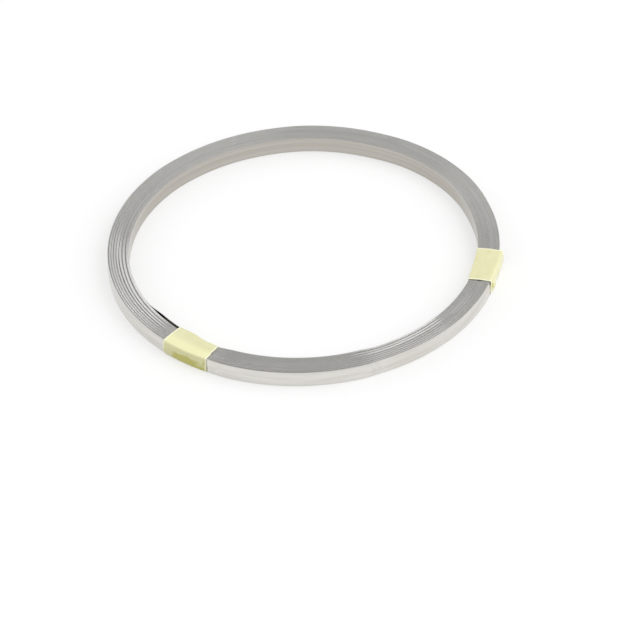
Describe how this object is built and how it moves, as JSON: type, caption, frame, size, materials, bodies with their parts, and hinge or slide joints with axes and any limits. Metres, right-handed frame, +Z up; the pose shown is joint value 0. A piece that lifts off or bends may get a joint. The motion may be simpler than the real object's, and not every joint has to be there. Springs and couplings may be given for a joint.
{
  "type": "coil of nichrome ribbon",
  "caption": "Thin resistance ribbon wound turn on turn into a flat ring with a wide open bore, held by short wraps of pale yellow tape; stock for making heating elements.",
  "frame": {"origin": "on the coil's axis, at the level of the surface that it lies on", "axes": "+Z up along the coil's axis; +X to the right and +Y away, seen from the side where both tapes are near"},
  "size_m": [0.1435, 0.1432, 0.0065],
  "materials": {
    "nichrome": "bright rolled faces and satin slit edges",
    "tape": "smooth matt"
  },
  "bodies": {
    "root": {"ribbon_coil": "nichrome", "tape_left": "tape", "tape_right": "tape"}
  },
  "joints": []
}
